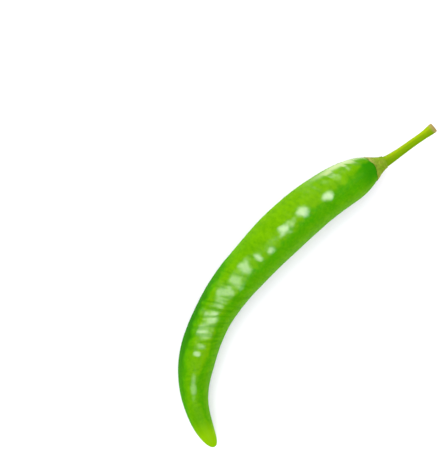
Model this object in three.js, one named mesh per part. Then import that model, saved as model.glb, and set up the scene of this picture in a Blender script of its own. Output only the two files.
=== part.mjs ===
// A fresh green chilli pepper, as picked, lying on its side on a flat surface.
//
// Three solids share one curved axis: the pod, the calyx that caps the pod's shoulder, and
// the stem. Each is turned as a straight body of revolution and then bent along that axis.
//
// Millimetres, +Z up. The surface that the pepper lies on is z = 0. +X runs from the tip
// towards the stem, and the pod bulges towards +Y. The origin lies on the surface, under
// the middle of the pepper's bounding box.

import * as THREE from "three";

// --- Driving sizes ----------------------------------------------------------------------

const POD_LENGTH = 108; // neck to tip, along the bend
const POD_RADIUS = 7.3; // at the belly, the thickest place
const CONTACT_DIP = 0.16; // how far the skin flattens where the pod's weight rests on it

const CALYX_HEIGHT = 4.3; // how far the calyx stands above the pod's neck
const CALYX_SKIRT = 0.5; // how far its rim reaches down the pod's shoulder
const CALYX_WALL = 0.3; // thickness of the rim
const CALYX_TOP_RADIUS = 1.95; // where the stem grows out of it
const TOOTH_COUNT = 5; // one small tooth for each sepal
const TOOTH_LENGTH = 0.8; // how far a tooth reaches past the rim
const FIRST_TOOTH = -18; // where the first tooth is about the axis, in degrees, with 90 on top

const STEM_LENGTH = 18; // calyx to cut end, along the bend
const STEM_FOOT_RADIUS = 1.65; // at the calyx
const STEM_RADIUS = 1.22; // its thinnest place
const STEM_END_RADIUS = 1.5; // the swollen joint that it snapped from

const SEAT_GAP = 0.3; // between two pieces that grow together

// --- How fine the facets are ------------------------------------------------------------

const POD_SIDES = 40;
const POD_RINGS = 60;
const RING_CROWDING = 0.88; // 0 spaces the rings evenly, and near 1 crowds them at the ends
const CALYX_SIDES = 40;
const STEM_SIDES = 16;
const STEM_RINGS = 18;
const CURVE_SAMPLES = 400;

// --- Shape of the pod and of the shared axis ----------------------------------------------

// The pod's outline, crown to tip: share of POD_LENGTH, share of POD_RADIUS.
const POD_OUTLINE = [
  [-0.012, 0],
  [-0.0085, 0.25],
  [0, 0.49],
  [0.026, 0.7],
  [0.063, 0.835],
  [0.115, 0.915],
  [0.19, 0.965],
  [0.27, 1],
  [0.35, 0.985],
  [0.44, 0.93],
  [0.53, 0.87],
  [0.6, 0.815],
  [0.66, 0.79],
  [0.73, 0.765],
  [0.775, 0.715],
  [0.82, 0.62],
  [0.87, 0.515],
  [0.93, 0.42],
  [0.965, 0.325],
  [0.988, 0.19],
  [1, 0],
];

// Which way the axis runs, seen from above, in degrees from +X: share of POD_LENGTH, heading.
const POD_HEADING = [
  [0, 152],
  [0.1, 155],
  [0.2, 162],
  [0.3, 168],
  [0.4, 171],
  [0.5, 175],
  [0.6, 185],
  [0.7, 197],
  [0.8, 211],
  [0.9, 232],
  [1, 250],
];

// How high the axis runs above the surface, as shares of the same two sizes. Where the pod
// rests on its underside, that is its own radius. Towards the neck and the tip it lifts off.
const RESTS_FROM = 0.15;
const RESTS_TO = 0.78;
const POD_AXIS_HEIGHT = [
  [0, 0.76],
  [0.03, 0.82],
  [0.063, 0.875],
  [0.105, 0.925],
  ...POD_OUTLINE.filter(([share]) => share > RESTS_FROM && share < RESTS_TO),
  [0.85, 0.62],
  [0.93, 0.565],
  [1, 0.575],
];

// How the calyx narrows towards the stem: share of its height, share of its flare.
const CALYX_FLARE = [
  [0, 1],
  [0.2, 0.74],
  [0.45, 0.42],
  [0.75, 0.13],
  [1, 0],
];

// The axis through the calyx and the stem, from the neck to the cut end: share of their joint
// length, heading, and how far the axis rises above the neck's, in millimetres.
const STEM_BEND = [
  [0, 152, 0],
  [0.15, 152, -0.5],
  [0.35, 158, -1.1],
  [0.52, 160, -1.35],
  [0.68, 159, -1.3],
  [0.84, 160, -0.9],
  [1, 165, -0.2],
];

// A smooth curve through [x, y] points, as a function of x.
function through(points) {
  const spline = new THREE.SplineCurve(points.map(([x, y]) => new THREE.Vector2(x, y)));
  const samples = spline.getPoints(CURVE_SAMPLES);
  return (x) => {
    const found = samples.findIndex((p) => p.x > x);
    const next = found === -1 ? samples.length - 1 : Math.max(found, 1);
    const [a, b] = [samples[next - 1], samples[next]];
    return a.y + ((b.y - a.y) * (x - a.x)) / (b.x - a.x);
  };
}

const outline = through(POD_OUTLINE);
const podHeading = through(POD_HEADING);
const podAxisHeight = through(POD_AXIS_HEIGHT);
const stemHeading = through(STEM_BEND.map(([share, heading]) => [share, heading]));
const stemRise = through(STEM_BEND.map(([share, , rise]) => [share, rise]));
const stemReach = CALYX_HEIGHT + SEAT_GAP + STEM_LENGTH;

// The pod's radius at a distance from the neck along the axis.
const podRadius = (along) => POD_RADIUS * Math.max(0, outline(along / POD_LENGTH));

// The axis's height above the surface. Distances before the neck are negative.
function axisHeight(along) {
  if (along < 0) return axisHeight(0) + stemRise(-along / stemReach);
  return POD_RADIUS * podAxisHeight(along / POD_LENGTH) - CONTACT_DIP;
}

const headingAt = (along) =>
  THREE.MathUtils.degToRad(along < 0 ? stemHeading(-along / stemReach) : podHeading(along / POD_LENGTH));

// The axis as one curve from the stem's cut end to the tip, stepped along its headings.
function pepperAxis() {
  const steps = CURVE_SAMPLES;
  const step = (stemReach + POD_LENGTH) / steps;
  const spot = new THREE.Vector3();
  const points = [];
  for (let i = 0; i <= steps; i++) {
    const along = i * step - stemReach;
    points.push(new THREE.Vector3(spot.x, spot.y, axisHeight(along)));
    const heading = headingAt(along + step / 2);
    spot.x += step * Math.cos(heading);
    spot.y += step * Math.sin(heading);
  }
  return points;
}

const axisPoints = pepperAxis();

// The point and the frame of the axis at a distance from the neck.
function axisAt(along) {
  const last = axisPoints.length - 1;
  const place = ((along + stemReach) / (stemReach + POD_LENGTH)) * last;
  const index = THREE.MathUtils.clamp(Math.floor(place), 0, last - 1);
  const [a, b] = [axisPoints[index], axisPoints[index + 1]];
  const point = a.clone().lerp(b, place - index);
  const before = axisPoints[Math.max(index - 2, 0)];
  const after = axisPoints[Math.min(index + 3, last)];
  const tangent = after.clone().sub(before).normalize();
  const side = new THREE.Vector3(0, 0, 1).cross(tangent).normalize();
  const up = tangent.clone().cross(side);
  return { point, side, up };
}

// --- Making a solid -----------------------------------------------------------------------

// Turns a profile of [along, radius] points about a straight axis, lets reshape move each
// point by its angle, and bends the result along the pepper's axis. Skin that would go
// below the surface is flattened on it.
function bentTurning(profile, sides, reshape = (along, radius) => [along, radius]) {
  const points = profile.map(([along, radius]) => new THREE.Vector2(radius, along));
  const geometry = new THREE.LatheGeometry(points, sides);
  const position = geometry.getAttribute("position");
  for (let i = 0; i < position.count; i++) {
    const [x, along0, z] = [position.getX(i), position.getY(i), position.getZ(i)];
    const angle = Math.atan2(z, x);
    const [along, radius] = reshape(along0, Math.hypot(x, z), angle);
    const { point, side, up } = axisAt(along);
    point.addScaledVector(side, radius * Math.cos(angle)).addScaledVector(up, radius * Math.sin(angle));
    position.setXYZ(i, point.x, point.y, Math.max(point.z, 0));
  }
  geometry.computeVertexNormals();
  return geometry;
}

function named(name, geometry, material) {
  const mesh = new THREE.Mesh(geometry, new THREE.MeshStandardMaterial(material));
  mesh.name = name;
  return mesh;
}

// --- Pod: the fruit itself, with its glossy skin ----------------------------------------------

const crown = POD_LENGTH * POD_OUTLINE[0][0];

// Where the pod's rings lie along its axis. They are closer together towards both ends,
// where the outline turns fastest.
function podRings() {
  const rings = [];
  for (let i = 0; i <= POD_RINGS; i++) {
    const share = i / POD_RINGS;
    const eased = share - (RING_CROWDING * Math.sin(2 * Math.PI * share)) / (2 * Math.PI);
    rings.push(THREE.MathUtils.lerp(crown, POD_LENGTH, eased));
  }
  return rings;
}

function pod() {
  const profile = podRings().map((along) => [along, podRadius(along)]);
  profile[0][1] = 0;
  profile[POD_RINGS][1] = 0;
  return named("pod", bentTurning(profile.reverse(), POD_SIDES), {
    color: 0x55a805,
    roughness: 0.22,
    metalness: 0,
  });
}

// --- Calyx: the cap that the stem flares into, with a toothed rim on the pod's shoulder ------

function calyx() {
  const top = -CALYX_HEIGHT;
  const shoulder = podRadius(0) + SEAT_GAP + CALYX_WALL;
  // A point off the pod's skin, taken along a line at 45 degrees to the axis.
  const offPod = (along, gap) => [along - gap * Math.SQRT1_2, podRadius(along) + gap * Math.SQRT1_2];
  // The seat follows the pod's own rings, from the crown to the rim.
  const covered = podRings().filter((along) => along > crown && along < CALYX_SKIRT);
  const profile = [[crown - SEAT_GAP, 0]];
  for (const along of [...covered, CALYX_SKIRT]) profile.push(offPod(along, SEAT_GAP));
  for (const share of [1, 0.7, 0.35]) profile.push(offPod(CALYX_SKIRT * share, SEAT_GAP + CALYX_WALL));
  for (const [share, flare] of CALYX_FLARE) {
    profile.push([share * top, THREE.MathUtils.lerp(CALYX_TOP_RADIUS, shoulder, flare)]);
  }
  profile.push([top, 0]);
  // A tooth draws the rim further down the pod's shoulder, at the same distance from it.
  const toothed = (along, radius, angle) => {
    const share = THREE.MathUtils.smoothstep(along, 0, CALYX_SKIRT);
    const turn = angle - THREE.MathUtils.degToRad(FIRST_TOOTH);
    const tooth = Math.max(0, Math.cos(TOOTH_COUNT * turn)) ** 2;
    const moved = along + share * tooth * TOOTH_LENGTH;
    return [moved, radius + podRadius(moved) - podRadius(along)];
  };
  return named("calyx", bentTurning(profile, CALYX_SIDES, toothed), {
    color: 0x8f9a3c,
    roughness: 0.6,
    metalness: 0,
  });
}

// --- Stem: tapers from the calyx and swells again at its cut end ------------------------------

function stem() {
  const stemRadius = through([
    [0, STEM_FOOT_RADIUS],
    [0.15, 0.5 * (STEM_FOOT_RADIUS + STEM_RADIUS)],
    [0.45, STEM_RADIUS],
    [0.75, STEM_RADIUS],
    [0.93, STEM_END_RADIUS],
    [1, STEM_END_RADIUS],
  ]);
  const foot = -CALYX_HEIGHT - SEAT_GAP;
  const profile = [[foot, 0]];
  for (let i = 0; i <= STEM_RINGS; i++) {
    const share = i / STEM_RINGS;
    profile.push([foot - share * STEM_LENGTH, stemRadius(share)]);
  }
  profile.push([foot - STEM_LENGTH, 0]);
  return named("stem", bentTurning(profile, STEM_SIDES), {
    color: 0x86b414,
    roughness: 0.45,
    metalness: 0,
  });
}

// --- The pepper, centred over its origin ------------------------------------------------------

const pepper = new THREE.Group();
pepper.add(pod(), calyx(), stem());
const middle = new THREE.Box3().setFromObject(pepper).getCenter(new THREE.Vector3());
pepper.children.forEach((piece) => piece.position.set(-middle.x, -middle.y, 0));

export default pepper;
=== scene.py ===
"""A fresh green chilli pepper, as picked, lying on its side on a white surface.

Metres, +Z up. The surface is z = 0, +X runs from the tip towards the stem, and the pod
bulges towards +Y. The pieces come in the order that they grow in from the fruit to the
cut end: pod, calyx, stem. The floor, the light and the camera follow.
"""

import math

import bmesh
import bpy
import numpy as np
from mathutils import Matrix, Vector, noise


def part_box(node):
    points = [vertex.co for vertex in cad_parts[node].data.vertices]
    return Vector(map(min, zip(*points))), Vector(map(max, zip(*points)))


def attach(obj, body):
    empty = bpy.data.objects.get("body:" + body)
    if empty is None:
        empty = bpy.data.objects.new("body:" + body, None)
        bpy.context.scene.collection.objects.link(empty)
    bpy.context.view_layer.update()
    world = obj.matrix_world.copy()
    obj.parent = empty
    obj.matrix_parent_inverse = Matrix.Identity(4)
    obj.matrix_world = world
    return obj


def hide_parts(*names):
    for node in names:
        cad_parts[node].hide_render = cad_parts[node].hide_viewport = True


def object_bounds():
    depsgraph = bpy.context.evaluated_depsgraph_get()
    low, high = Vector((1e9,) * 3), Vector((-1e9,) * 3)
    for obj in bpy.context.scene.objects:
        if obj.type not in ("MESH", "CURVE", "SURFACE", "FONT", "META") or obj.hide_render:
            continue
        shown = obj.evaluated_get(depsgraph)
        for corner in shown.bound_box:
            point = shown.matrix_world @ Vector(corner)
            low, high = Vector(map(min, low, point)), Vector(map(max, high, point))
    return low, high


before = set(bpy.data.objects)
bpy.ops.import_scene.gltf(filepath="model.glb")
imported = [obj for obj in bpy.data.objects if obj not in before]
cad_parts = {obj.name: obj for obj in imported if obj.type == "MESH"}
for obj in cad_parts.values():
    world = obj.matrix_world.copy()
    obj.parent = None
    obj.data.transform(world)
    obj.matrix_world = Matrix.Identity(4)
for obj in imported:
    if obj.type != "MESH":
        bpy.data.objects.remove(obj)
cad_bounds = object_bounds()

# --- Pod ----------------------------------------------------------------------------------
# The fruit: a hollow berry with a waxy, glossy skin over a thin, crisp wall. It grows as a
# straight, slightly three-sided tube from the shoulder to a blunt tip, and bends as it
# ripens. Its skin is drawn in over the seeds, so the crest swells and creases across.

POD_LENGTH = 0.108  # neck to tip, along the bend
POD_RADIUS = 0.0073  # at the belly
CONTACT_DIP = 0.00016  # how far the skin flattens where the pod rests
STEM_REACH = 0.0226  # neck to the stem's cut end, along the bend
POD_SIDES = 144
POD_RINGS = 640
RING_CROWDING = 0.3  # 0 spaces the rings evenly, and near 1 crowds them at the ends

# The outline, crown to tip: share of the length, share of the radius.
POD_OUTLINE = [
    (-0.012, 0), (-0.0085, 0.25), (0, 0.49), (0.026, 0.7), (0.063, 0.835), (0.115, 0.915),
    (0.19, 0.965), (0.27, 1), (0.35, 0.985), (0.44, 0.93), (0.53, 0.87), (0.6, 0.815),
    (0.66, 0.79), (0.73, 0.765), (0.775, 0.715), (0.82, 0.62), (0.87, 0.515), (0.93, 0.42),
    (0.962, 0.335), (0.981, 0.255), (0.993, 0.165), (0.9985, 0.08), (1, 0),
]
# Which way the axis runs, seen from above: share of the length, degrees from +X.
POD_HEADING = [
    (0, 152), (0.1, 155), (0.2, 162), (0.3, 168), (0.4, 171), (0.5, 175),
    (0.6, 185), (0.7, 197), (0.8, 211), (0.9, 232), (1, 250),
]
# The axis is one radius high where the pod rests, and lifts off towards its two ends.
RESTS_FROM = 0.15
RESTS_TO = 0.78
POD_AXIS_HEIGHT = [
    (0, 0.76), (0.03, 0.82), (0.063, 0.875), (0.105, 0.925),
    *[(share, radius) for share, radius in POD_OUTLINE if RESTS_FROM < share < RESTS_TO],
    (0.85, 0.62), (0.93, 0.565), (1, 0.575),
]
# On through the calyx and the stem: share of their reach, heading, rise in millimetres.
STEM_BEND = [
    (0, 152, 0), (0.15, 152, -0.5), (0.35, 158, -1.1), (0.52, 160, -1.35),
    (0.68, 159, -1.3), (0.84, 160, -0.9), (1, 165, -0.2),
]
AXIS_STEPS = 800
MILLIMETRE = 0.001
MERGE_DISTANCE = 1e-7


def through(points, steps=24):
    """A smooth curve through (x, y) points, as a function of x."""
    ends = np.array([points[0], *points, points[-1]], float)
    found = []
    for a, b, c, d in zip(ends, ends[1:], ends[2:], ends[3:]):
        for t in np.linspace(0, 1, steps, endpoint=False):
            cubic = (3 * (b - c) + d - a) * t**3 + (2 * a - 5 * b + 4 * c - d) * t**2 + (c - a) * t
            found.append(b + 0.5 * cubic)
    x, y = np.array([*found, ends[-1]]).T
    return lambda at: np.interp(at, x, y)


outline = through(POD_OUTLINE)
stem_heading = through([(share, heading) for share, heading, _ in STEM_BEND])
stem_rise = through([(share, rise) for share, _, rise in STEM_BEND])


def pod_radius(along):
    return POD_RADIUS * np.maximum(outline(along / POD_LENGTH), 0)


def axis_curve():
    """The axis from the cut end to the tip: distances from the neck, points and frames."""
    along = np.linspace(-STEM_REACH, POD_LENGTH, AXIS_STEPS + 1)
    in_pod, in_stem = np.maximum(along, 0) / POD_LENGTH, np.maximum(-along, 0) / STEM_REACH
    heading = np.radians(np.where(along < 0, stem_heading(in_stem), through(POD_HEADING)(in_pod)))
    step = along[1] - along[0]
    x = np.cumsum(np.cos(heading)) * step
    y = np.cumsum(np.sin(heading)) * step
    z = POD_RADIUS * through(POD_AXIS_HEIGHT)(in_pod) - CONTACT_DIP
    z += MILLIMETRE * stem_rise(in_stem)
    points = np.stack([x, y, z], axis=1)
    tangent = np.gradient(points, axis=0)
    tangent /= np.linalg.norm(tangent, axis=1, keepdims=True)
    side = np.cross([0.0, 0.0, 1.0], tangent)
    side /= np.linalg.norm(side, axis=1, keepdims=True)
    return along, points, side, np.cross(tangent, side)


axis_along, axis_points, axis_side, axis_up = axis_curve()

# The plain outline seen from above, set against the pod's box, gives the axis its place.
reach = np.abs(axis_side) * pod_radius(axis_along)[:, None]
in_pod = axis_along >= 0
pod_low, pod_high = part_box("pod")
axis_points[:, 0] += pod_low.x - (axis_points - reach)[in_pod, 0].min()
axis_points[:, 1] += pod_high.y - (axis_points + reach)[in_pod, 1].max()


def bent(along, radius, angle):
    """The places on the bent pepper of points of the straight one, none below the surface."""
    point, side, up = (
        np.stack([np.interp(along, axis_along, column) for column in values.T], axis=1)
        for values in (axis_points, axis_side, axis_up)
    )
    places = point + radius[:, None] * (np.cos(angle)[:, None] * side + np.sin(angle)[:, None] * up)
    places[:, 2] = np.maximum(places[:, 2], 0)
    return places


def turned(profile, sides):
    """A straight body of revolution along X from (along, radius) points, ends on the axis."""
    body = bmesh.new()
    verts = [body.verts.new((along, radius, 0)) for along, radius in profile]
    edges = [body.edges.new(pair) for pair in zip(verts, verts[1:])]
    bmesh.ops.spin(
        body, geom=verts + edges, cent=(0, 0, 0), axis=(1, 0, 0), dvec=(0, 0, 0),
        angle=2 * math.pi, steps=sides, use_merge=True, use_duplicate=False,
    )
    bmesh.ops.remove_doubles(body, verts=body.verts, dist=MERGE_DISTANCE)
    return body


def bent_piece(name, body, surface, smoothing=0):
    """Bends a turned body along the axis, and keeps its straight coordinates for patterns.

    surface gives a point's distance along the axis and from it, by its angle about it.
    """
    rows = []
    for vert in body.verts:
        angle = math.atan2(vert.co.z, vert.co.y)
        rows.append((*surface(vert.co.x, math.hypot(vert.co.y, vert.co.z), angle), angle))
    along, radius, angle = np.array(rows).T
    straight = np.stack([along, radius * np.cos(angle), radius * np.sin(angle)], axis=1)
    for vert, place in zip(body.verts, bent(along, radius, angle)):
        vert.co = place
    for _ in range(smoothing):
        bmesh.ops.smooth_vert(
            body, verts=body.verts, factor=0.5, use_axis_x=True, use_axis_y=True, use_axis_z=True
        )
    bmesh.ops.recalc_face_normals(body, faces=body.faces)
    # A body that ends in a hollow can come out of that with all its faces inwards.
    if body.calc_volume(signed=True) < 0:
        bmesh.ops.reverse_faces(body, faces=body.faces)
    for face in body.faces:
        face.smooth = True
    mesh = bpy.data.meshes.new(name)
    body.to_mesh(mesh)
    body.free()
    attribute = mesh.attributes.new("straight", "FLOAT_VECTOR", "POINT")
    attribute.data.foreach_set("vector", straight.ravel())
    piece = bpy.data.objects.new(name, mesh)
    bpy.context.scene.collection.objects.link(piece)
    return piece


def hump(value, middle, width):
    """A bell of height 1 about the middle."""
    return math.exp(-(((value - middle) / width) ** 2))


def between(value, start, end):
    """0 before start, 1 after end, and a smooth rise from one to the other."""
    t = min(max((value - start) / (end - start), 0), 1)
    return t * t * (3 - 2 * t)


# Creases across the crest, as shares of the length. The skin swells from each to the next.
CREASES = [0.055, 0.118, 0.19, 0.262, 0.331, 0.378, 0.418]
# Where the crest runs: share of the length, degrees about the axis, with 90 on top.
CREST = through([
    (0, 97), (0.15, 89), (0.23, 92), (0.29, 90), (0.36, 80), (0.4, 89), (0.45, 101), (0.49, 90),
    (0.6, 96), (0.7, 93), (0.82, 91), (0.9, 96), (1, 95),
])
# How sharp the crest is: a ridge above 0, and flattened below.
CREST_RIDGE = through([
    (0, 0), (0.12, 0.2), (0.2, 0.5), (0.38, 0.5), (0.44, -1), (0.68, -1), (0.74, 0.3), (1, 0),
])
RIDGE_HEIGHT = 0.00030
CREST_SWELL = 0.00034
LOBES = 3
LOBE_HEIGHT = 0.00016
LUMP_HEIGHT = 0.00018
WRINKLE_HEIGHT = 0.00011
SLANT_HEIGHT = 0.00012
FLUTES = 5
FLUTE_HEIGHT = 0.00016
PRESSED = 0.85  # how much of the relief is gone where the pod rests
RING_LEAN = 0.45  # how far the rings run on towards the tip on the outside of the bend


def swell(share):
    """0 in the creases across the crest and beyond them, and 1 on top of each swell."""
    for start, end in zip(CREASES, CREASES[1:]):
        if start < share < end:
            t = (share - start) / (end - start)
            return 4 * t * (1 - t)
    return 0


def from_crest(share, angle):
    """The turn from the crest to an angle, positive on the outside of the bend."""
    return math.remainder(angle - math.radians(CREST(share)), 2 * math.pi)


def wrinkle(spot):
    """Uneven rings round the pod, a millimetre or two apart, from about -1 to 1."""
    along = spot.x + RING_LEAN * spot.y
    coarse = noise.noise(Vector((along * 560, spot.y * 120, spot.z * 120)))
    fine = noise.noise(Vector((along * 1150, spot.y * 160, spot.z * 160)))
    return 0.8 * coarse + fine


def slant(spot, off_crest):
    """Short wrinkles that lean away from the neck, from about -1 to 1."""
    lean = spot.x * 900 - off_crest * 2.2
    return noise.noise(Vector((lean, spot.y * 120, spot.z * 120)))


def drawn_in(share):
    """How strongly the wall has shrunk into rings: most past the belly, where it is thin."""
    return 0.22 + 0.78 * hump(share, 0.59, 0.16)


def pod_relief(along, radius, angle):
    """How far the skin stands off the plain, round pod."""
    share = along / POD_LENGTH
    spot = Vector((along, radius * math.cos(angle), radius * math.sin(angle)))
    off_crest = from_crest(share, angle)
    body = between(share, 0.01, 0.12) * (1 - between(share, 0.7, 1))
    relief = LOBE_HEIGHT * body * math.cos(LOBES * off_crest)
    relief += RIDGE_HEIGHT * body * CREST_RIDGE(share) * hump(off_crest, 0, 0.42)
    relief += LUMP_HEIGHT * body * noise.noise(Vector((spot.x * 110, spot.y * 190, spot.z * 190)))
    relief += CREST_SWELL * (swell(share) - 0.5) * hump(off_crest, 0, 0.6) * hump(share, 0.24, 0.17)
    near_top = 0.4 + 0.6 * hump(off_crest, 0, 0.9)
    relief += WRINKLE_HEIGHT * body * drawn_in(share) * near_top * wrinkle(spot)
    shoulder = hump(share, 0.11, 0.06) * hump(off_crest, 0.75, 0.5)
    relief += SLANT_HEIGHT * shoulder * slant(spot, off_crest)
    # The shoulder is drawn into shallow flutes under the calyx.
    relief -= FLUTE_HEIGHT * hump(share, 0.012, 0.03) * (0.5 + 0.5 * math.cos(FLUTES * angle))
    # The underside is pressed plain where the pod rests on it.
    relief *= 1 - PRESSED * hump(math.remainder(angle + math.pi / 2, 2 * math.pi), 0, 0.5)
    return relief * min(radius / (0.35 * POD_RADIUS), 1)


def pod_surface(along, radius, angle):
    return along, radius + pod_relief(along, radius, angle)


crown = POD_LENGTH * POD_OUTLINE[0][0]
ring_share = np.linspace(0, 1, POD_RINGS + 1)
ring_share = ring_share - RING_CROWDING * np.sin(2 * math.pi * ring_share) / (2 * math.pi)
pod_rings = crown + (POD_LENGTH - crown) * ring_share
pod_profile = [[along, pod_radius(along)] for along in pod_rings]
pod_profile[0][1] = pod_profile[-1][1] = 0
pod = bent_piece("pod_fruit", turned(pod_profile, POD_SIDES), pod_surface, smoothing=1)


# Where the bloom on the wax is rubbed off along the top: share of the length, degrees from
# the top, half its length as a share, half its width in degrees, and how bright it is.
RUBBED = [
    (0.154, -1, 0.019, 14, 0.7), (0.232, 3, 0.018, 14, 0.65), (0.296, 2, 0.027, 13, 0.65),
    (0.364, -9, 0.016, 9, 0.55), (0.402, 2, 0.010, 14, 0.55), (0.447, 11, 0.021, 22, 0.45),
    (0.487, 4, 0.028, 31, 0.34), (0.533, 8, 0.027, 31, 0.34), (0.572, 4, 0.017, 24, 0.32),
    (0.612, 6, 0.024, 31, 0.55), (0.657, 8, 0.025, 31, 0.52), (0.696, -1, 0.009, 13, 0.38),
    (0.720, 4, 0.007, 9, 0.5), (0.560, 5, 0.150, 27, 0.11), (0.350, 2, 0.080, 10, 0.06),
    (0.808, 3, 0.054, 12, 0.26),
]
BLOOM = 0.008  # how far the unrubbed top still shines
INNER_SHINE = 0.10  # on the flank inside the bend
OUTER_SHINE = 0.04
FURROW_DIMMING = 0.7
WRINKLE_DIMMING = 0.85


def from_top_of(y, z):
    """The turn from the top in degrees, positive on the outside of the bend."""
    return math.degrees(math.remainder(math.atan2(z, y) - math.pi / 2, 2 * math.pi))


def pod_polish(along, y, z):
    """How far the skin shines: rubbed spots along the top, and an even gloss on the flanks."""
    share = along / POD_LENGTH
    from_top = from_top_of(y, z)
    spot = Vector((along, y, z))
    ragged = 0.6 * noise.noise(spot * 400) + 0.22 * noise.noise(spot * 1050)
    flank = between(abs(from_top), 30, 75)
    shine = BLOOM + flank * (INNER_SHINE if from_top < 0 else OUTER_SHINE)
    for middle, degrees, half, width, bright in RUBBED:
        distance = math.hypot((share - middle) / half, (from_top - degrees) / width)
        if distance < 2:
            shine = max(shine, bright * (1 - between(distance + ragged, 0.25, 1.35)) ** 1.7)
    furrowed = hump(share, 0.57, 0.19) * (1 - flank) * between(-wrinkle(spot), -0.05, 0.25)
    shine *= 1 - FURROW_DIMMING * furrowed
    # The edge of the shoulder shines too, broken up by its slanting wrinkles.
    off_crest = from_crest(share, math.atan2(z, y))
    uneven = off_crest + 0.15 * noise.noise(spot * 300)
    shoulder = hump(share, 0.08, 0.08) * hump(uneven, 1.08, 0.42)
    wrinkled = between(off_crest, 1.25, 0.7) * between(-slant(spot, off_crest), -0.1, 0.15)
    return max(shine, shoulder * (1 - WRINKLE_DIMMING * wrinkled))


# How yellow the skin is painted on the side the key lights, by share of the length: partly
# its own yellower tone, partly painted light. Then where that band ends, on the inside of
# the bend and on the outside: share of the length, degrees from the top.
LIT_YELLOWING = through([
    (0, 0.9), (0.1, 1), (0.3, 1), (0.42, 0.8), (0.6, 0.9), (0.75, 0.9), (0.84, 0.6), (0.92, 0.55),
    (1, 1),
])
LIT_BAND_INSIDE = through([
    (0, 34), (0.05, 16), (0.1, -2), (0.2, 0), (0.3, -11), (0.4, -12), (0.5, -20), (0.6, -20),
    (0.7, -30), (0.8, -12), (0.9, -26), (1, -60),
])
LIT_BAND_OUTSIDE = through([
    (0, 120), (0.38, 110), (0.46, 66), (0.52, 46), (0.6, 40), (0.7, 26), (0.8, 26), (0.88, 42),
    (1, 120),
])


def pod_light_and_shade(along, y, z):
    """Painted light and shade: up to 1 where the skin is painted yellower as lit by the key,
    partly its own tone, also with painted floor light on the flank inside the bend, and
    below 0 a painted shadow on the outer flank beyond the belly.
    """
    share = along / POD_LENGTH
    spot = Vector((along, y, z))
    ragged = 12 * noise.noise(spot * 200) + 9 * noise.noise(spot * 620)
    from_top = from_top_of(y, z) + ragged
    inside, outside = LIT_BAND_INSIDE(share), LIT_BAND_OUTSIDE(share)
    band = between(from_top, inside - 9, inside + 7)
    band *= 1 - between(from_top, outside - 14, outside + 18)
    # Painted light from the floor, yellowing the flank inside the bend, most by the neck.
    floor_glow = (0.5 + 0.45 * hump(share, 0.03, 0.05)) * between(-from_top, 20, 60)
    # A painted shadow darkens the outer flank beyond the belly.
    painted_shadow = hump(share, 0.65, 0.17) * between(from_top, 34, 55)
    return max(LIT_YELLOWING(share) * band, floor_glow) - painted_shadow


def pod_furrow_shade(along, y, z):
    """How deep a point lies in the furrows between the wrinkles, from 0 to 1, for the painted shade
    in them.
    """
    return drawn_in(along / POD_LENGTH) * between(-wrinkle(Vector((along, y, z))), 0.0, 0.55)


straight_spots = [spot.vector for spot in pod.data.attributes["straight"].data]
for name, value_at in (("polish", pod_polish), ("painted_light", pod_light_and_shade), ("furrow_shade", pod_furrow_shade)):
    attribute = pod.data.attributes.new(name, "FLOAT", "POINT")
    attribute.data.foreach_set("value", [value_at(*spot) for spot in straight_spots])


def join(tree, node, values):
    """Sets inputs of a node to a value, or joins them to a socket."""
    for name, value in values.items():
        if isinstance(value, bpy.types.NodeSocket):
            tree.links.new(value, node.inputs[name])
        else:
            node.inputs[name].default_value = value


def place(tree, kind, values=None, **settings):
    """A shader node with its settings, and its inputs set or joined."""
    node = tree.nodes.new(kind)
    for name, value in settings.items():
        setattr(node, name, value)
    join(tree, node, values or {})
    return node


def mottle_group():
    """Uneven patches, as plant tissue has.

    Length is how much longer they are along the piece, and Edge how soft their edges are.
    """
    group = bpy.data.node_groups.new("mottle", "ShaderNodeTree")
    group.interface.new_socket("Vector", in_out="INPUT", socket_type="NodeSocketVector")
    for name in ("Size", "Length", "Edge"):
        group.interface.new_socket(name, in_out="INPUT", socket_type="NodeSocketFloat")
    group.interface.new_socket("Mask", in_out="OUTPUT", socket_type="NodeSocketFloat")
    given = place(group, "NodeGroupInput").outputs
    parts = place(group, "ShaderNodeSeparateXYZ", {0: given["Vector"]}).outputs
    along = place(group, "ShaderNodeMath", {0: parts["X"], 1: given["Length"]}, operation="DIVIDE")
    spot = place(group, "ShaderNodeCombineXYZ", {0: along.outputs[0], 1: parts["Y"], 2: parts["Z"]})
    fineness = place(group, "ShaderNodeMath", {0: 1.0, 1: given["Size"]}, operation="DIVIDE")
    cloud = place(
        group, "ShaderNodeTexNoise",
        {"Vector": spot.outputs[0], "Scale": fineness.outputs[0], "Detail": 3.0, "Roughness": 0.55},
    )
    low = place(group, "ShaderNodeMath", {0: 0.5, 1: given["Edge"]}, operation="SUBTRACT")
    high = place(group, "ShaderNodeMath", {0: 0.5, 1: given["Edge"]}, operation="ADD")
    mask = place(
        group, "ShaderNodeMapRange",
        {"Value": cloud.outputs[0], "From Min": low.outputs[0], "From Max": high.outputs[0]},
    )
    place(group, "NodeGroupOutput", {"Mask": mask.outputs[0]})
    return group


mottle = mottle_group()


def mottled(tree, vector, size, length=1.0, edge=0.2):
    """The mask of one mottle group placed in a material."""
    values = {"Vector": vector, "Size": size, "Length": length, "Edge": edge}
    return place(tree, "ShaderNodeGroup", values, node_tree=mottle).outputs["Mask"]


def blended(tree, factor, a, b):
    """Two colours, or a colour socket and a colour, mixed by a mask."""
    return place(tree, "ShaderNodeMix", {0: factor, 6: a, 7: b}, data_type="RGBA").outputs[2]


def masked(tree, name):
    """The mask kept in one of the piece's attributes."""
    return place(tree, "ShaderNodeAttribute", attribute_name=name).outputs["Fac"]


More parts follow.
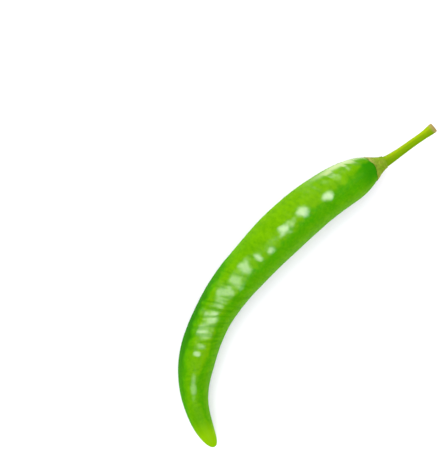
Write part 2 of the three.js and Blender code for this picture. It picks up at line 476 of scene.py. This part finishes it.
def spread(tree, value, start, end, low=0.0, high=1.0):
    """A value's stretch from start to end, mapped smoothly to low and high."""
    node = place(
        tree, "ShaderNodeMapRange",
        {"Value": value, "From Min": start, "From Max": end, "To Min": low, "To Max": high},
        interpolation_type="SMOOTHSTEP",
    )
    return node.outputs[0]


def product(tree, a, b):
    return place(tree, "ShaderNodeMath", {0: a, 1: b}, operation="MULTIPLY").outputs[0]


def bumped(tree, height, strength, distance):
    """The normals of a height that is too fine for the mesh."""
    values = {"Height": height, "Strength": strength, "Distance": distance}
    return place(tree, "ShaderNodeBump", values).outputs[0]


def new_material(name):
    """An empty material with its shader, and the straight coordinates of the piece."""
    material = bpy.data.materials.new(name)
    material.use_nodes = True
    tree = material.node_tree
    tree.nodes.clear()
    shader = place(tree, "ShaderNodeBsdfPrincipled")
    place(tree, "ShaderNodeOutputMaterial", {"Surface": shader.outputs[0]})
    straight = place(tree, "ShaderNodeAttribute", attribute_name="straight").outputs["Vector"]
    return material, tree, shader, straight


DEEP_GREEN = (0.034, 0.258, 0.0004, 1)
LIT_YELLOW_GREEN = (0.136, 0.338, 0.0004, 1)
PAINTED_SHADOW_GREEN = (0.010, 0.130, 0.0004, 1)
PATCH_GREEN = (0.068, 0.262, 0.0004, 1)
BLOTCH_GREEN = (0.048, 0.215, 0.0004, 1)
SPECK_GREEN = (0.170, 0.370, 0.001, 1)
FURROW_SHADE_GREEN = (0.024, 0.180, 0.0004, 1)
TIP_GREEN = (0.190, 0.400, 0.0008, 1)
NECK_GREEN = (0.015, 0.182, 0.0006, 1)
WORN_GREEN = (0.110, 0.230, 0.020, 1)
PAINTED_HIGHLIGHT_GREEN = (0.450, 0.560, 0.220, 1)
SKIN_DEPTH = 0.0008  # how far light spreads inside the wall
RIPPLE_HEIGHT = 0.00007


def pod_skin():
    material, tree, shader, straight = new_material("pod_skin")
    along, _, up = place(tree, "ShaderNodeSeparateXYZ", {0: straight}).outputs
    patches = mottled(tree, straight, size=0.006, length=1.6, edge=0.2)
    blotches = mottled(tree, straight, size=0.0019, length=0.55, edge=0.14)
    specks = mottled(tree, straight, size=0.0007, length=1.2, edge=0.12)
    # The skin is painted yellower where the key lights it, partly its own tone, and deeper green
    # elsewhere.
    painted_light, furrow_shade = masked(tree, "painted_light"), masked(tree, "furrow_shade")
    colour = blended(tree, painted_light, DEEP_GREEN, LIT_YELLOW_GREEN)
    colour = blended(tree, product(tree, patches, 0.4), colour, PATCH_GREEN)
    colour = blended(tree, product(tree, blotches, 0.45), colour, BLOTCH_GREEN)
    colour = blended(tree, product(tree, specks, 0.2), colour, SPECK_GREEN)
    # Below 0 the mask lays on the painted shadow of the outer flank.
    colour = blended(tree, product(tree, painted_light, -0.85), colour, PAINTED_SHADOW_GREEN)
    # Painted shade darkens the furrows between the wrinkles.
    colour = blended(tree, product(tree, furrow_shade, 0.45), colour, FURROW_SHADE_GREEN)
    tip = spread(tree, along, 0.91 * POD_LENGTH, 0.97 * POD_LENGTH)
    colour = blended(tree, product(tree, tip, 0.85), colour, TIP_GREEN)
    # The neck is a darker green, most where the skin is not painted as lit.
    neck = product(tree, spread(tree, along, 0.08 * POD_LENGTH, 0.015 * POD_LENGTH), 0.85)
    unlit = spread(tree, painted_light, 1.0, 0.0, 0.4, 1.0)
    colour = blended(tree, product(tree, neck, unlit), colour, NECK_GREEN)
    # Where the wax is worn the skin is greyer. On the edge of the shoulder a painted highlight
    # makes it paler.
    polish = masked(tree, "polish")
    on_top = spread(tree, up, 0.5 * POD_RADIUS, 0.65 * POD_RADIUS)
    on_edge = spread(tree, on_top, 1.0, 0.0)
    worn = product(tree, spread(tree, polish, 0.1, 0.7, 0.0, 0.3), on_top)
    colour = blended(tree, worn, colour, WORN_GREEN)
    painted_highlight = product(tree, spread(tree, polish, 0.15, 0.9, 0.0, 0.62), on_edge)
    colour = blended(tree, painted_highlight, colour, PAINTED_HIGHLIGHT_GREEN)
    ripples = place(
        tree, "ShaderNodeTexNoise", {"Vector": straight, "Scale": 800.0, "Detail": 3.0}
    ).outputs[0]
    join(tree, shader, {
        "Base Color": colour, "Roughness": spread(tree, patches, 0, 1, 0.36, 0.46),
        "Specular IOR Level": 0.0, "Coat Weight": polish, "Coat Roughness": 0.13,
        "Coat IOR": 1.6, "Subsurface Weight": 0.12, "Subsurface Radius": (1.0, 1.2, 0.2),
        "Subsurface Scale": SKIN_DEPTH, "Normal": bumped(tree, ripples, 0.7, RIPPLE_HEIGHT),
    })
    return material


pod.data.materials.append(pod_skin())
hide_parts("pod")
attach(pod, "root")

# --- Calyx --------------------------------------------------------------------------------
# The dried cap left from the flower, fused to the pod's shoulder: a shallow cone of tough
# tissue with five low ribs that end in small teeth. It grows from the stem and dries to
# tan and olive as the pod fills.

CALYX_HEIGHT = 0.0043
CALYX_SKIRT = 0.0005  # how far the rim reaches down the shoulder
CALYX_WALL = 0.00024
CALYX_SINK = 0.00008  # how far the cap's underside is grown into the skin
CALYX_TOP_RADIUS = 0.00195
CALYX_SIDES = 180
SEPALS = 5
TOOTH_LENGTHS = [0.0009, 0.0002, 0.0003, 0.0009, 0.0006]
FIRST_TOOTH = math.radians(-18)
FRAY_LENGTH = 0.00012  # how uneven the rim is between the teeth
DRAWN_BACK = 0.0008  # how much less of the shoulder the rim covers on top
RIB_HEIGHT = 0.00012
GRAIN_HEIGHT = 0.00006
PIT_DEPTH = 0.00005
CALYX_FLARE = through([(0, 1), (0.2, 0.74), (0.45, 0.42), (0.75, 0.13), (1, 0)])


def calyx_profile():
    """The cap's section: along the seat, round the rim, and up the cone to its top."""
    section = [(0.8 * crown, 0)]
    for along in np.linspace(0.75 * crown, CALYX_SKIRT, 26):
        section.append((along, pod_radius(along) - CALYX_SINK))
    rim = pod_radius(CALYX_SKIRT)
    for turn in np.linspace(0.15, 0.85, 6) * math.pi:
        out = 0.5 * CALYX_WALL * (1 - math.cos(turn))
        section.append((CALYX_SKIRT + 0.3 * CALYX_WALL * math.sin(turn), rim + out))
    shoulder = pod_radius(0) + CALYX_WALL
    for share in np.linspace(0, 1, 40):
        radius = CALYX_TOP_RADIUS + (shoulder - CALYX_TOP_RADIUS) * CALYX_FLARE(share)
        section.append((-share * CALYX_HEIGHT, radius))
    section.append((-CALYX_HEIGHT, 0))
    return section


def calyx_surface(along, radius, angle):
    """Draws the rim back on top and out into teeth, and runs a rib from each to the stem."""
    turn = SEPALS * (angle - FIRST_TOOTH)
    tooth = TOOTH_LENGTHS[round(turn / (2 * math.pi)) % SEPALS] * max(0, math.cos(turn)) ** 2
    around = Vector((math.cos(angle), math.sin(angle), 0))
    fray = FRAY_LENGTH * noise.noise(9 * around)
    on_top = hump(math.remainder(angle - math.pi / 2, 2 * math.pi), 0, 0.85)
    shift = tooth + fray - DRAWN_BACK * on_top
    off_skin = radius - pod_radius(along) if along > 0.7 * crown else radius
    if off_skin < 2 * CALYX_WALL:
        # The seat and the rim follow the skin wherever the rim moves to.
        moved = along + shift * between(along, 0.7 * crown, CALYX_SKIRT)
        skin = pod_radius(moved)
        outside = between(off_skin, 0, CALYX_WALL)
        radius = skin + pod_relief(moved, skin, angle) + off_skin
    else:
        up = -along / CALYX_HEIGHT
        kept = max(1 - up, 0) ** 2
        moved = along + shift * kept
        radius += kept * (pod_radius(shift) - pod_radius(0))
        outside = 1 if radius > 0.5 * CALYX_TOP_RADIUS else 0
        rib = RIB_HEIGHT * (0.5 + 0.5 * math.cos(turn)) * (1 - between(up, 0.35, 1))
        radius += outside * rib
    grain = GRAIN_HEIGHT * noise.noise(Vector((along * 900, 11 * around.x, 11 * around.y)))
    pits = PIT_DEPTH * noise.noise(Vector((along * 2600, 26 * around.x, 26 * around.y)))
    return moved, radius + outside * (grain + pits)


calyx = bent_piece("calyx_cap", turned(calyx_profile(), CALYX_SIDES), calyx_surface)


CALYX_OLIVE = (0.125, 0.245, 0.002, 1)
CALYX_YELLOW = (0.235, 0.325, 0.024, 1)
DRIED_AND_LIT_TAN = (0.320, 0.330, 0.080, 1)
TOOTH_BROWN = (0.200, 0.130, 0.040, 1)
CALYX_SPOT = (0.070, 0.090, 0.004, 1)
CALYX_RING = (0.130, 0.240, 0.006, 1)  # where it meets the stem
CALYX_BUMP = 0.00007


def calyx_tissue():
    material, tree, shader, straight = new_material("calyx_tissue")
    along, across, _ = place(tree, "ShaderNodeSeparateXYZ", {0: straight}).outputs
    patches = mottled(tree, straight, size=0.0022, length=1.2, edge=0.16)
    spots = mottled(tree, straight, size=0.0006, edge=0.08)
    colour = blended(tree, patches, CALYX_OLIVE, CALYX_YELLOW)
    # The rim dries to tan first. The tan is laid on most on the outside of the bend, where it is
    # also painted light from the key.
    rim = spread(tree, along, -0.0022, 0.0004)
    dried_and_lit = product(tree, rim, spread(tree, across, 0.001, -0.0035, 0.15, 0.85))
    colour = blended(tree, dried_and_lit, colour, DRIED_AND_LIT_TAN)
    tooth = spread(tree, along, 0.0005, 0.0011)
    colour = blended(tree, product(tree, tooth, 0.7), colour, TOOTH_BROWN)
    colour = blended(tree, product(tree, spots, 0.3), colour, CALYX_SPOT)
    ring = product(tree, spread(tree, along, -CALYX_HEIGHT + 0.0012, -CALYX_HEIGHT), 0.7)
    colour = blended(tree, ring, colour, CALYX_RING)
    grain = place(
        tree, "ShaderNodeTexNoise", {"Vector": straight, "Scale": 2600.0, "Detail": 4.0}
    ).outputs[0]
    join(tree, shader, {
        "Base Color": colour, "Roughness": spread(tree, spots, 0, 1, 0.55, 0.75),
        "Specular IOR Level": 0.02, "Normal": bumped(tree, grain, 0.5, CALYX_BUMP),
    })
    return material


calyx.data.materials.append(calyx_tissue())
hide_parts("calyx")
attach(calyx, "root")

# --- Stem ---------------------------------------------------------------------------------
# The stalk that the flower hung on: a tough, five-sided, faintly ribbed green stalk. It
# runs on from the calyx and thickens at the joint where it was snapped off the plant,
# where the torn fibres have dried.

STEM_FOOT_RADIUS = 0.00165
STEM_RADIUS = 0.00122
STEM_END_RADIUS = 0.0015
STEM_SIDES = 96
STEM_RINGS = 190
STEM_JOINT = 0.00003  # between the calyx's top and the stem's foot
STEM_RIBS = 5
STEM_RIB_HEIGHT = 0.00004
STEM_LINES = 11  # finer ribs between them
STEM_LINE_HEIGHT = 0.000015
STEM_TWIST = 0.5  # how far the ribs turn along it, in radians
STEM_LUMP_HEIGHT = 0.00006
STEM_GRAIN_HEIGHT = 0.00002
CUT_SLANT = 0.00035
TEAR_LENGTH = 0.00018
LIP_STARTS = 0.985
# The cut end, from its rounded lip to the shrunken pith: share of the length, of the radius.
CUT_END = [
    (0.996, 0.95), (1, 0.86), (0.998, 0.78), (0.992, 0.68), (0.986, 0.5), (0.983, 0.25), (0.983, 0),
]
STEM_TAPER = through([
    (0, STEM_FOOT_RADIUS), (0.15, 0.5 * (STEM_FOOT_RADIUS + STEM_RADIUS)), (0.45, STEM_RADIUS),
    (0.75, STEM_RADIUS), (0.93, STEM_END_RADIUS), (1, STEM_END_RADIUS),
])
stem_foot = -CALYX_HEIGHT - STEM_JOINT
stem_length = STEM_REACH - CALYX_HEIGHT - STEM_JOINT


def stem_profile():
    """The stalk's section: its foot, its length, the rounded lip of the cut and the pith."""
    section = [(stem_foot, 0), (stem_foot, 0.5 * STEM_FOOT_RADIUS)]
    for share in np.linspace(0, LIP_STARTS, STEM_RINGS):
        section.append((stem_foot - share * stem_length, STEM_TAPER(share)))
    for share, radius in CUT_END:
        section.append((stem_foot - share * stem_length, radius * STEM_END_RADIUS))
    return section


def stem_surface(along, radius, angle):
    """Raises the ribs, turns them slowly, and tears the cut end a little aslant."""
    share = (stem_foot - along) / stem_length
    turn = angle + STEM_TWIST * share
    y, z = math.cos(angle), math.sin(angle)
    skin = between(radius, 0.6 * STEM_RADIUS, 0.9 * STEM_RADIUS)
    ribs = STEM_RIB_HEIGHT * math.cos(STEM_RIBS * turn)
    ribs += STEM_LINE_HEIGHT * math.cos(STEM_LINES * turn + 1.0)
    lumps = STEM_LUMP_HEIGHT * noise.noise(Vector((along * 260, 2.2 * y, 2.2 * z)))
    grain = STEM_GRAIN_HEIGHT * noise.noise(Vector((along * 700, 9 * y, 9 * z)))
    radius += skin * (ribs + lumps + grain)
    end = between(share, 0.93, 1)
    aslant = CUT_SLANT * math.cos(angle - 0.9) * radius / STEM_END_RADIUS
    tear = TEAR_LENGTH * noise.noise(Vector((7, 1400 * radius * y, 1400 * radius * z)))
    return along + end * (aslant + tear), radius


stem = bent_piece("stem_stalk", turned(stem_profile(), STEM_SIDES), stem_surface)


STEM_GREEN = (0.130, 0.275, 0.0004, 1)
STEM_LIGHT_GREEN = (0.190, 0.328, 0.001, 1)
STRIPE_GREEN = (0.090, 0.205, 0.0006, 1)
STEM_SPOT = (0.190, 0.190, 0.004, 1)
STEM_LIT_GREEN = (0.330, 0.440, 0.006, 1)
STEM_SHADED_GREEN = (0.100, 0.240, 0.0004, 1)
FOOT_GREEN = (0.110, 0.220, 0.003, 1)
CUT_BROWN = (0.300, 0.210, 0.080, 1)
STRIPE_HEIGHT = 0.00006


def stem_rind():
    material, tree, shader, straight = new_material("stem_rind")
    along, across, _ = place(tree, "ShaderNodeSeparateXYZ", {0: straight}).outputs
    patches = mottled(tree, straight, size=0.003, length=2.5, edge=0.2)
    stripes = mottled(tree, straight, size=0.0005, length=14.0, edge=0.15)
    spots = mottled(tree, straight, size=0.0008, length=1.6, edge=0.05)
    colour = blended(tree, patches, STEM_GREEN, STEM_LIGHT_GREEN)
    colour = blended(tree, product(tree, stripes, 0.35), colour, STRIPE_GREEN)
    colour = blended(tree, product(tree, spots, 0.25), colour, STEM_SPOT)
    # Painted light and shade: it is painted yellower on the lit side outside the bend, and a deeper
    # green on the shaded side inside.
    outside = spread(tree, across, -0.1 * STEM_RADIUS, -0.8 * STEM_RADIUS)
    colour = blended(tree, product(tree, outside, 0.5), colour, STEM_LIT_GREEN)
    inside = spread(tree, across, -0.1 * STEM_RADIUS, 0.4 * STEM_RADIUS)
    colour = blended(tree, product(tree, inside, 0.5), colour, STEM_SHADED_GREEN)
    foot = spread(tree, along, stem_foot - 0.0035, stem_foot)
    colour = blended(tree, product(tree, foot, 0.5), colour, FOOT_GREEN)
    end = spread(tree, along, -STEM_REACH + 0.0016, -STEM_REACH + 0.0004)
    colour = blended(tree, product(tree, end, 0.85), colour, CUT_BROWN)
    join(tree, shader, {
        "Base Color": colour, "Roughness": spread(tree, patches, 0, 1, 0.42, 0.58),
        "Specular IOR Level": 0.003, "Normal": bumped(tree, stripes, 0.4, STRIPE_HEIGHT),
    })
    return material


stem.data.materials.append(stem_rind())
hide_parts("stem")
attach(stem, "root")

# --- Floor --------------------------------------------------------------------------------
# A wide sheet of matt white card under the pepper, which runs out of every view.

FLOOR_SIZE = 6.0
CARD_WHITE = (0.9, 0.9, 0.92, 1)

sheet = bmesh.new()
bmesh.ops.create_grid(sheet, x_segments=1, y_segments=1, size=FLOOR_SIZE / 2)
floor_mesh = bpy.data.meshes.new("floor")
sheet.to_mesh(floor_mesh)
sheet.free()
floor = bpy.data.objects.new("floor", floor_mesh)
bpy.context.scene.collection.objects.link(floor)
card, card_tree, card_shader, _ = new_material("white_card")
join(card_tree, card_shader, {
    "Base Color": CARD_WHITE, "Roughness": 0.9, "Specular IOR Level": 0.1,
})
floor.data.materials.append(card)

# --- Light --------------------------------------------------------------------------------
# A white tent with a soft, faintly yellow key over the outside of the bend. A box straight
# above makes the glints along the crest, and a low panel beyond the shoulder the one on its
# edge.

PICTURE_UP = Vector((0.828, 0.561, 0))
PICTURE_RIGHT = Vector((0.561, -0.828, 0))
TENT_COLOUR = (0.97, 0.93, 1.0, 1)
TENT_STRENGTH = 1.5
KEY_COLOUR = (1.0, 1.0, 0.85)
low, high = cad_bounds
middle = (Vector(low) + Vector(high)) / 2

world = bpy.data.worlds.new("tent")
world.use_nodes = True
backdrop = world.node_tree.nodes["Background"]
join(world.node_tree, backdrop, {"Color": TENT_COLOUR, "Strength": TENT_STRENGTH})
bpy.context.scene.world = world


def soft_box(name, right, up, height, size, power, colour=(1, 1, 1), glossy=True, diffuse=True):
    """A square area light at a place given in metres from the pepper, which it faces."""
    light = bpy.data.lights.new(name, "AREA")
    light.size = size
    light.energy = power
    light.color = colour
    lamp = bpy.data.objects.new(name, light)
    lamp.location = middle + right * PICTURE_RIGHT + up * PICTURE_UP + Vector((0, 0, height))
    lamp.rotation_euler = (middle - lamp.location).to_track_quat("-Z", "Y").to_euler()
    lamp.visible_camera = False
    lamp.visible_glossy = glossy
    lamp.visible_diffuse = diffuse
    bpy.context.scene.collection.objects.link(lamp)


soft_box("key", -0.8, 0.8, 1.0, size=1.6, power=11, colour=KEY_COLOUR, glossy=False)
soft_box("overhead", 0.0, 0.0, 1.1, size=2.6, power=235, diffuse=False)
soft_box("shoulder_panel", -0.29, 0.9, 0.38, size=0.8, power=16, diffuse=False)

# --- Camera -------------------------------------------------------------------------------
# A long lens straight above, turned so that the stem points up and to the right.

VIEW_HEIGHT = 0.135  # what the picture's long side covers
FOCAL_LENGTH = 100.0
SENSOR = 36.0
VIEW_CENTRE = Vector((pod_low.x + 0.0575, pod_high.y + 0.0064, 0.0065))

camera_data = bpy.data.cameras.new("camera")
camera_data.lens = FOCAL_LENGTH
camera_data.sensor_width = SENSOR
camera = bpy.data.objects.new("camera", camera_data)
back = Vector((0, 0, 1))
turn = Matrix((PICTURE_RIGHT, PICTURE_UP, back)).transposed().to_4x4()
eye = VIEW_CENTRE + back * VIEW_HEIGHT * FOCAL_LENGTH / SENSOR
camera.matrix_world = Matrix.Translation(eye) @ turn
bpy.context.scene.collection.objects.link(camera)
bpy.context.scene.camera = camera
bpy.context.scene.view_settings.view_transform = "Standard"
